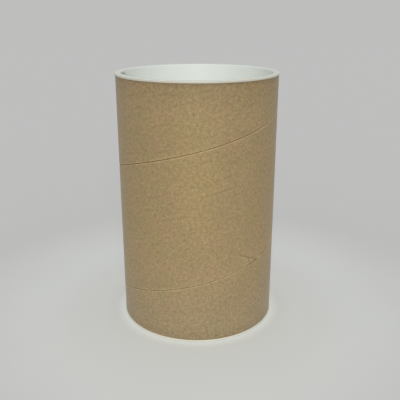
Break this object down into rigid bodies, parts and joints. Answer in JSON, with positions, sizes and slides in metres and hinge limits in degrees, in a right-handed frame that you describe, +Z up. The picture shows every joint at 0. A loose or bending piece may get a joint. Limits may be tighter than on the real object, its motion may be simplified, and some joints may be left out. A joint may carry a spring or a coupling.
{
  "type": "cardboard mailing tube",
  "caption": "Round spiral-wound kraft cardboard mailing tube, standing upright, with a white recessed plug cap in each end.",
  "frame": {"origin": "on the floor, on the tube's axis, under the lower cap's flange", "axes": "+Z up along the tube's axis, from the lower cap to the upper one; -Y faces the viewer of the picture"},
  "size_m": [0.1298, 0.1298, 0.2068],
  "materials": {
    "kraft_board": "matte",
    "white_plastic": "satin"
  },
  "bodies": {
    "tube": {"tube": "kraft_board"},
    "top_cap": {"top_cap": "white_plastic"},
    "bottom_cap": {"bottom_cap": "white_plastic"}
  },
  "joints": [
    {"name": "top_cap_pull", "type": "slide", "parent": "tube", "child": "top_cap", "axis": [0, 0, 1], "range_m": [0, 0.032]},
    {"name": "bottom_cap_pull", "type": "slide", "parent": "tube", "child": "bottom_cap", "axis": [0, 0, -1], "range_m": [0, 0.032]}
  ]
}
